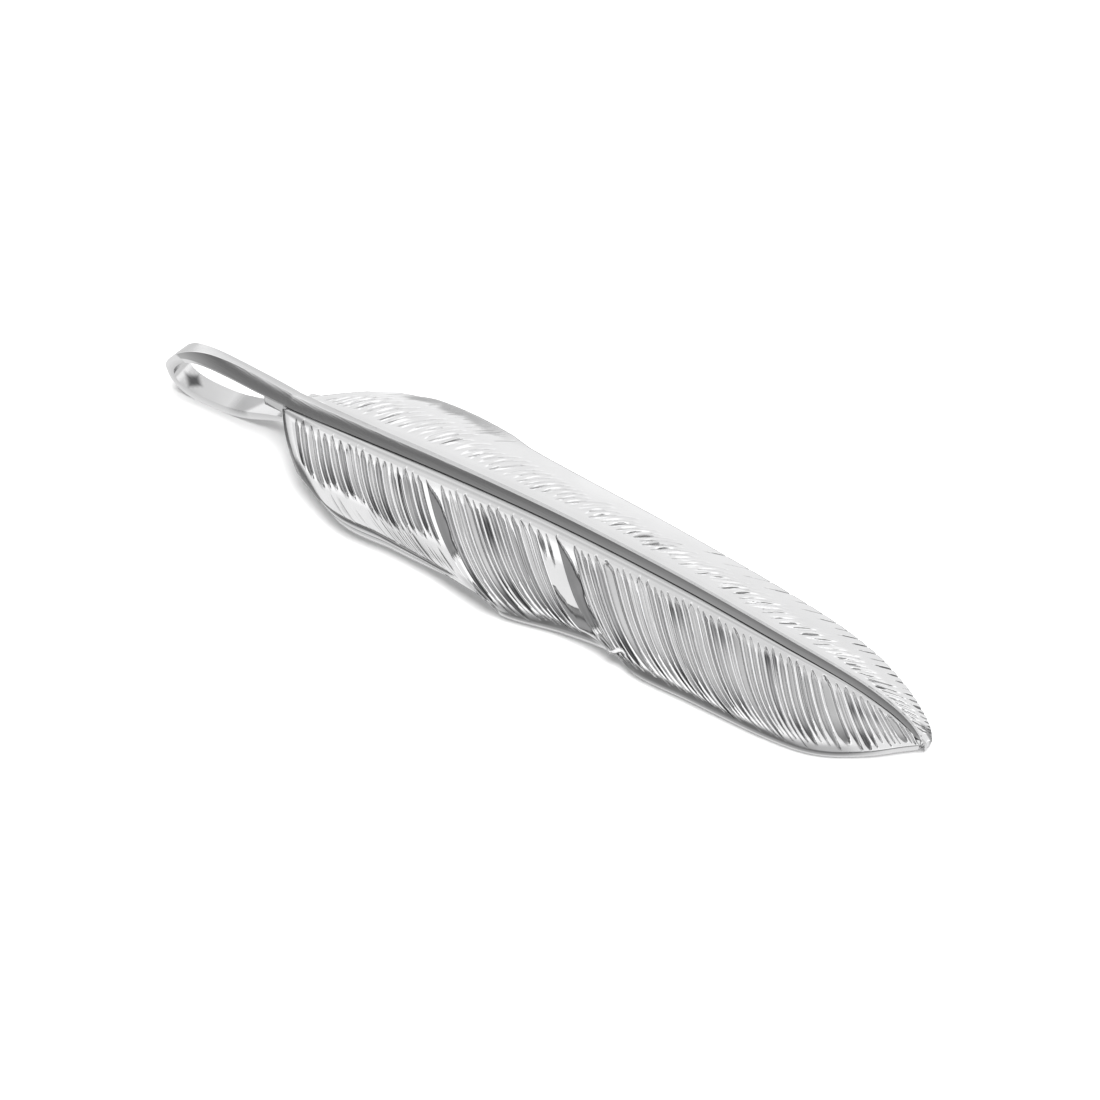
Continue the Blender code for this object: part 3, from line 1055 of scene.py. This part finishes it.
    def dress(self, plate: Piece, shape: tuple[int, ...], place: Array,
              tarnish: Array, along: Array) -> None:
        """Keep the tarnish with its painted shade, and the run of the barbs, on the plate's points.

        Args:
            plate: the plate.
            shape: rings, points on each ring, and three.
            place: the place of each ring on the shaft.
            tarnish: the tarnish of the carved face, with its painted shade.
            along: the place of each row across the plate, negative on the near vane.
        """
        dark = np.zeros(shape[:2])
        dark[:, :len(along)] = tarnish
        dark[:, -1] = tarnish[:, 0]
        run = np.zeros(shape)
        run[..., 0] = place[:, None]
        run[:, :len(along), 1] = along[None, :]
        rest = len(plate.data.vertices) - dark.size
        # the tongue gets painted shade
        paint(plate, "tarnish", np.concatenate([dark.ravel(), np.full(rest, self.tongue_painted_shade)]))
        paint(plate, "barb_run", np.concatenate([run.reshape(-1, 3), np.zeros((rest, 3))]))


@dataclass
class QuillBar:
    """The half-round bar: quill, hanging loop and the tongue that tucks under the plate."""

    solder_gap: float = 0.025
    shaft_stations: int = 280
    bail_stations: int = 220
    section_points: int = 33
    inner_points: int = 9
    inner_share: float = 0.96        # width of the flat inner face as a share of the bar's
    keel: float = 0.86               # how much of the crown is a roof shape instead of a bow
    end_length: float = 0.25         # length of the rounded end at the tip
    end_share: float = 0.12          # size of its last station as a share of the bar's
    crease_angle: float = 0.7        # edges sharper than this, in radians, stay crisp
    # tarnish in the seam beside the plate, and painted dark reflection on the side walls of the loop's upper
    # limb
    seam_tarnish_and_shade: float = 0.75
    edge_tarnish_and_shade: float = 0.6        # as a share of the seam's
    satin_tarnish: float = 0.25      # tarnish of the far flank and of the inner face of the loop
    limb_shares: Pair = (0.3, 0.42)  # of the loop, where its upper limb ends and its lower one begins
    seam_from: Pair = (-8.6, -7.0)   # mm from the base of the plate, where the seam's tarnish and painted shade set in
    kite_reflection_place: float = -8.95        # middle of the painted dark reflection, a kite, inside the bend of the loop
    kite_reflection_size: Pair = (1.25, 1.2)    # its reach along the bar in mm, and across in half-widths
    cloud_painted_shade: float = 0.6       # painted shade of the grey patch on the inner face of the lower limb
    cloud_from: Pair = (-6.4, -4.2)  # where it sets in
    cloud_until: Pair = (-3.3, -2.4)   # and where it fades
    ridge_lean: float = 0.9          # how near the ridge runs to the near edge in the bend of the loop
    ridge_bend: Pair = (4.7, 1.6)    # the bend's middle and half-width, counted in the points of bail
    half_width: Curve = Curve((
        (0.0, 0.9), (5.0, 0.8), (15.0, 0.68), (25.0, 0.58), (35.0, 0.5), (50.0, 0.42), (55.0, 0.32),
        (56.7, 0.16)))
    crown: Curve = Curve(((0.0, 0.52), (10.0, 0.46), (25.0, 0.4), (45.0, 0.34), (55.0, 0.24), (56.7, 0.12)))
    side: Curve = Curve(((0.0, 0.12), (10.0, 0.08), (56.7, 0.05)))
    # the inner face of the loop seen from the side: x, z, half-width, side and crown
    bail: tuple[tuple[float, ...], ...] = (
        (0.0, 3.61, 0.9, 0.12, 0.55), (-2.25, 3.97, 0.95, 0.2, 0.57), (-5.0, 4.4, 0.96, 0.22, 0.57),
        (-7.4, 4.45, 0.98, 0.26, 0.52), (-9.1, 3.8, 1.0, 0.48, 0.32), (-10.05, 2.4, 1.0, 0.6, 0.26),
        (-9.55, 1.25, 0.98, 0.56, 0.24), (-8.1, 0.76, 0.94, 0.76, 0.0), (-5.6, 0.76, 0.92, 0.76, 0.0),
        (-3.6, 1.15, 0.9, 0.7, 0.08), (-1.6, 1.8, 0.88, 0.56, 0.2), (0.6, 2.3, 0.85, 0.35, 0.32),
        (3.2, 2.16, 0.7, 0.2, 0.3), (5.2, 2.07, 0.3, 0.12, 0.16))

    def stations(self) -> tuple[Array, Array]:
        """Places along the bar, from its rounded end at the tip to the tongue.

        Returns:
            The middle of the flat inner face at each station, and its half-width, side and crown.
        """
        run = SHAFT_LENGTH * (1.0 - np.arange(self.shaft_stations) / self.shaft_stations)
        middle = np.stack([run, SHAFT_LINE.at(run), SPINE_HEIGHT.at(run) + self.solder_gap], axis=-1)
        sizes = np.stack([self.half_width.at(run), self.side.at(run), self.crown.at(run)], axis=-1)
        end = np.sqrt(1.0 - (1.0 - np.clip((SHAFT_LENGTH - run) / self.end_length, 0.0, 1.0)) ** 2)
        sizes *= np.maximum(end, self.end_share)[:, None]
        numbered = Curve(tuple((float(index), *point) for index, point in enumerate(self.bail)))
        loop = numbered.at(np.linspace(0.0, len(self.bail) - 1.0, self.bail_stations + 1))
        loop_middle = np.stack([loop[:, 0], SHAFT_LINE.at(loop[:, 0]), loop[:, 1]], axis=-1)
        loop_sizes = np.maximum(loop[:, 2:], 0.0)
        return np.concatenate([middle, loop_middle]), np.concatenate([sizes, loop_sizes])

    def build(self) -> Piece:
        """Loft the bar through its stations.

        Returns:
            The object.
        """
        middle, sizes = self.stations()
        along = np.gradient(middle, axis=0)
        along /= np.linalg.norm(along, axis=1, keepdims=True)
        outward = np.stack([along[:, 2], np.zeros(len(along)), -along[:, 0]], axis=-1)
        across = np.cross(outward, along)
        across /= np.linalg.norm(across, axis=1, keepdims=True)
        outward = np.cross(along, across)
        slope = np.sin(np.linspace(-0.5 * math.pi, 0.5 * math.pi, self.section_points))
        arch = 1.0 - self.keel * np.abs(slope) - (1.0 - self.keel) * slope ** 2
        ridge = self.ridge(len(middle))[:, None]
        share = slope + ridge * (1.0 - np.abs(slope))
        half_width, side, crown = (sizes[:, index, None] for index in range(3))
        inner = np.linspace(self.inner_share, -self.inner_share, self.inner_points)
        flat = np.broadcast_to(inner, (len(middle), len(inner)))
        width = half_width * np.concatenate([share, flat], axis=1)
        rise = np.concatenate([side + crown * arch, 0.0 * flat], axis=1)
        rings = middle[:, None] + across[:, None] * width[..., None] + outward[:, None] * rise[..., None]
        rings[..., 2] = np.maximum(rings[..., 2], 0.0)
        size = rings.shape[1]
        bar = lay_mesh("quill_and_loop", rings.reshape(-1, 3), tube_faces(len(rings), size, clockwise=True))
        bar.data.set_sharp_from_angle(angle=self.crease_angle)
        # the tarnish attribute also holds the painted shade of the side walls and the loop
        paint(bar, "tarnish", self.tarnish(middle, inner, size).ravel())
        return bar

    def ridge(self, count: int) -> Array:
        """Where the ridge of the crown runs, which leaves the near edge only after the bend.

        Args:
            count: how many stations the bar has.

        Returns:
            The place of the ridge at each station, from -1 to 1 with 1 at the near edge.
        """
        turn = (np.arange(count) - self.shaft_stations) * (len(self.bail) - 1.0) / self.bail_stations
        return self.ridge_lean * hump(*self.ridge_bend, turn)

    def tarnish(self, middle: Array, inner: Array, size: int) -> Array:
        """Tarnish in the seam beside the plate, with painted dark reflection on the side walls of the loop's
        upper limb, a painted dark reflection inside the bend of the loop and painted shade on its lower limb.

        Args:
            middle: the middle of the flat inner face at each station.
            inner: the places of the inner face's points across it, from 1 to -1.
            size: how many points each ring has.

        Returns:
            One value for each point of each ring.
        """
        dark = np.zeros((len(middle), size))
        place = middle[:, :1]
        station = np.arange(len(middle))[:, None]
        upper = station < self.shaft_stations + self.limb_shares[0] * self.bail_stations
        lower = station > self.shaft_stations + self.limb_shares[1] * self.bail_stations
        seam = self.seam_tarnish_and_shade * upper * smooth_step(*self.seam_from, place)
        # the side walls' edge points carry the seam's tarnish and a painted dark reflection
        dark[:, [0, self.section_points - 1]] = self.edge_tarnish_and_shade * seam
        dark[:, 1:self.section_points // 2] = self.satin_tarnish
        along_reach, across_reach = self.kite_reflection_size
        reach = np.abs(place - self.kite_reflection_place) / along_reach + np.abs(inner) / across_reach
        # painted dark reflection: a kite inside the bend of the loop
        bend = lower * fade(0.25, 1.0, reach)
        # painted shade: a grey patch on the inner face of the lower limb
        cloud = lower * smooth_step(*self.cloud_from, place) * fade(*self.cloud_until, place + 0.7 * inner)
        satin = self.satin_tarnish * ~upper
        dark[:, self.section_points:] = np.maximum(np.maximum(seam, satin),
                                                   np.maximum(bend, self.cloud_painted_shade * cloud))
        return dark


@dataclass(frozen=True)
class SilverFinish:
    """Polished sterling silver with soft wear, fine scratches, tarnish left in the cuts and the painted shade
    that the pieces carry.
    """

    name: str
    tint: Triple = (0.93, 0.93, 0.935)
    # colour that the tarnish attribute mixes towards, for real tarnish and painted shade alike
    tarnish_and_shade_tint: Triple = (0.15, 0.15, 0.153)
    roughness: Pair = (0.07, 0.16)
    tarnish_roughness: float = 0.3
    film: float = 0.05               # tarnish in the patches of wear
    film_edge: Pair = (0.4, 0.75)
    wear_scale: float = 420.0
    dent_scale: float = 900.0
    dent_depth: float = 8e-6
    dent_strength: float = 0.25
    scratch_depth: float = 1e-5
    scratch_strength: float = 0.3
    scratch_scale: Triple = (300.0, 9000.0, 3000.0)   # long along the bar, in 1/m
    barb_scale: Triple = (7.0, 1.2, 1.0)   # along the barbs of the vanes
    carved: bool = False

    def build(self) -> bpy.types.Material:
        """Make the node material.

        Returns:
            The material.
        """
        material = bpy.data.materials.new(self.name)
        material.use_nodes = True
        tree = material.node_tree
        place = add_node(tree, "TexCoord").outputs["Object"]
        # the tarnish attribute holds real tarnish in the cuts and painted shade: shadow in hollows and dark
        # reflections
        tarnish = add_node(tree, "Attribute", attribute_name="tarnish").outputs["Fac"]
        clouds = self.noise(tree, place, self.wear_scale, detail=4.0)
        wear = add_node(tree, "MapRange", {"Value": clouds, "To Min": self.roughness[0],
                                           "To Max": self.roughness[1]})
        film = add_node(tree, "MapRange", {"Value": clouds, "From Min": self.film_edge[0],
                                           "From Max": self.film_edge[1], "To Max": self.film})
        both = add_node(tree, "Math", {0: tarnish, 1: film.outputs["Result"]},
                        operation="ADD", use_clamp=True)
        colour = add_node(tree, "Mix", {0: both.outputs["Value"], 6: (*self.tint, 1.0),
                                        7: (*self.tarnish_and_shade_tint, 1.0)}, data_type="RGBA")
        rough = add_node(tree, "Math", {0: tarnish, 1: self.tarnish_roughness, 2: wear.outputs["Result"]},
                         operation="MULTIPLY_ADD")
        dents = self.noise(tree, place, self.dent_scale, detail=3.0)
        dented = self.bump(tree, dents, self.dent_strength, self.dent_depth)
        if self.carved:
            run = add_node(tree, "Attribute", attribute_name="barb_run").outputs["Vector"]
            stretch = add_node(tree, "Mapping", {"Vector": run, "Scale": self.barb_scale})
        else:
            stretch = add_node(tree, "Mapping", {"Vector": place, "Scale": self.scratch_scale})
        hairs = self.noise(tree, stretch.outputs["Vector"], scale=1.0, detail=5.0)
        scratches = self.bump(tree, hairs, self.scratch_strength, self.scratch_depth, {"Normal": dented})
        feed(tree, tree.nodes["Principled BSDF"], {"Metallic": 1.0, "Base Color": colour.outputs[2],
                                                   "Roughness": rough.outputs["Value"], "Normal": scratches})
        return material

    @staticmethod
    def noise(tree: Tree, vector: Socket, scale: float, detail: float) -> Socket:
        """Add a noise texture.

        Args:
            tree: the material's nodes.
            vector: the place that it reads.
            scale: how many times the noise repeats in a unit of that place.
            detail: how many finer layers it has.

        Returns:
            The height of the noise.
        """
        return add_node(tree, "TexNoise", {"Vector": vector, "Scale": scale, "Detail": detail}).outputs["Fac"]

    @staticmethod
    def bump(tree: Tree, height: Socket, strength: float, distance: float,
             under: dict[str, Socket] | None = None) -> Socket:
        """Add a bump, on top of another one if there is one.

        Args:
            tree: the material's nodes.
            height: the socket that gives the height.
            strength: how strongly the bump turns the surface.
            distance: its height in metres.
            under: the normal of the bump that it adds to.

        Returns:
            The turned normal.
        """
        inputs = {"Height": height, "Strength": strength, "Distance": distance, **(under or {})}
        return add_node(tree, "Bump", inputs).outputs["Normal"]


@dataclass(frozen=True)
class Studio:
    """White table, soft sky and the camera of a close product picture."""

    elevation: float = 50.0
    azimuth: float = 33.0
    distance: float = 0.38
    pixels_per_mm: float = 13.2
    picture_width: int = 1100
    sensor: float = 36.0
    target: Triple = (1.08 * MM, -1.19 * MM, 2.0 * MM)
    bright_side: Triple = (0.1, 0.8, 0.6)
    # brightness of the sky against the cosine of the angle from its bright side
    sky: tuple[Pair, ...] = (
        (-1.0, 0.55), (-0.55, 0.5), (-0.3, 0.42), (-0.05, 0.27), (0.14, 0.14), (0.21, 0.17), (0.31, 0.95),
        (0.4, 1.2), (0.66, 1.2), (0.8, 0.9), (1.0, 0.84))
    ground: float = 0.8              # brightness below the horizon
    horizon: Pair = (-0.02, 0.06)    # cosines from straight down between which it sets in
    left_edge: Pair = (0.8, 0.95)    # cosines from the left between which the sky dims
    left_shade: float = 0.45         # share of the light that is left there
    lamp_size: float = 0.7
    lamp_power: float = 5.2
    lamp_place: Triple = (0.0, 0.1, 0.6)
    table_reach: float = 2000.0      # mm from the middle to each side
    table_top: float = -0.02         # mm, so that the pendant's flat faces don't flicker on it
    table_white: float = 0.93
    table_roughness: float = 0.8
    table_gloss: float = 0.1

    def back(self) -> Vector:
        """Direction from the pendant to the camera."""
        turn = math.radians(self.azimuth)
        rise = math.radians(self.elevation)
        return Vector((math.sin(turn) * math.cos(rise), -math.cos(turn) * math.cos(rise), math.sin(rise)))

    def set_camera(self) -> None:
        """Place the camera at the picture's angle."""
        lens = bpy.data.cameras.new("picture_camera")
        lens.sensor_width = self.sensor
        lens.lens = self.sensor * self.pixels_per_mm * self.distance / MM / self.picture_width
        lens.clip_start = 0.01
        camera = bpy.data.objects.new("picture_camera", lens)
        camera.location = Vector(self.target) + self.back() * self.distance
        camera.rotation_euler = self.back().to_track_quat("Z", "Y").to_euler()
        bpy.context.scene.collection.objects.link(camera)
        bpy.context.scene.camera = camera

    def set_sky(self) -> None:
        """Light the scene with a soft sky that is bright overhead and behind, and dark in front."""
        world = bpy.data.worlds.new("soft_sky")
        world.use_nodes = True
        bpy.context.scene.world = world
        tree = world.node_tree
        spread = add_node(tree, "MapRange", {"Value": self.lean(tree, self.bright_side), "From Min": -1.0})
        ramp = add_node(tree, "ValToRGB", {"Fac": spread.outputs["Result"]})
        stops = ramp.color_ramp.elements
        while len(stops) < len(self.sky):
            stops.new(0.5)
        for stop, (cosine, bright) in zip(stops, self.sky):
            stop.position = 0.5 * (cosine + 1.0)
            stop.color = (bright, bright, bright, 1.0)
        left = self.shade(tree, (-1.0, 0.0, 0.0), self.left_edge, (1.0, self.left_shade))
        below = self.shade(tree, (0.0, 0.0, -1.0), self.horizon, (0.0, 1.0))
        upper = add_node(tree, "Math", {0: ramp.outputs["Color"], 1: left}, operation="MULTIPLY")
        whole = add_node(tree, "Mix", {"Factor": below, "A": upper.outputs["Value"], "B": self.ground})
        feed(tree, tree.nodes["Background"], {"Color": whole.outputs["Result"]})

    @staticmethod
    def lean(tree: Tree, side: Triple) -> Socket:
        """Add nodes for how near each place of the sky is to one side.

        Args:
            tree: the sky's nodes.
            side: the direction of the side.

        Returns:
            The cosine of the angle between them.
        """
        place = add_node(tree, "TexCoord").outputs["Generated"]
        return add_node(tree, "VectorMath", {0: place, 1: side}, operation="DOT_PRODUCT").outputs["Value"]

    def shade(self, tree: Tree, side: Triple, edge: Pair, light: Pair) -> Socket:
        """Add nodes that change the sky around one direction.

        Args:
            tree: the sky's nodes.
            side: the middle of the changed part.
            edge: the cosines at which the change starts and is full.
            light: the values before and inside it.

        Returns:
            The value at each place of the sky.
        """
        inputs = {"Value": self.lean(tree, side), "From Min": edge[0], "From Max": edge[1],
                  "To Min": light[0], "To Max": light[1]}
        return add_node(tree, "MapRange", inputs, interpolation_type="SMOOTHSTEP").outputs["Result"]

    def set_lamp(self) -> None:
        """Hang a broad lamp over the table that keeps it white."""
        lamp = bpy.data.lights.new("table_lamp", "AREA")
        lamp.shape = "DISK"
        lamp.size = self.lamp_size
        lamp.energy = self.lamp_power
        hanging = bpy.data.objects.new("table_lamp", lamp)
        hanging.location = self.lamp_place
        hanging.visible_glossy = False
        bpy.context.scene.collection.objects.link(hanging)

    def set_table(self) -> None:
        """Lay the white table under the pendant."""
        corners = np.array([(x * self.table_reach, y * self.table_reach, self.table_top)
                            for x, y in ((-1, -1), (1, -1), (1, 1), (-1, 1))])
        table = lay_mesh("table", corners, [(0, 1, 2, 3)])
        material = bpy.data.materials.new("white_table")
        material.use_nodes = True
        tree = material.node_tree
        white = (self.table_white, self.table_white, self.table_white, 1.0)
        feed(tree, tree.nodes["Principled BSDF"], {"Roughness": self.table_roughness, "Base Color": white,
                                                   "Specular IOR Level": self.table_gloss})
        table.data.materials.append(material)
        table.visible_glossy = False


def main() -> None:
    """Build the studio and the pendant, and report each piece."""
    logging.basicConfig(level=logging.INFO, format="%(message)s")
    bpy.context.scene.view_settings.view_transform = "Standard"
    studio = Studio()
    studio.set_camera()
    studio.set_sky()
    studio.set_lamp()
    studio.set_table()

    plate = VanePlate().build()
    plate.data.materials.append(SilverFinish("carved_silver", carved=True).build())
    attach(plate, "root")
    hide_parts("vane_plate")
    log.info("carved vanes: %d faces", len(plate.data.polygons))

    bar = QuillBar().build()
    bar.data.materials.append(SilverFinish("drawn_silver").build())
    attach(bar, "root")
    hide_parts("quill_and_bail")
    log.info("quill bar and loop: %d faces", len(bar.data.polygons))


if __name__ == "__main__":
    main()
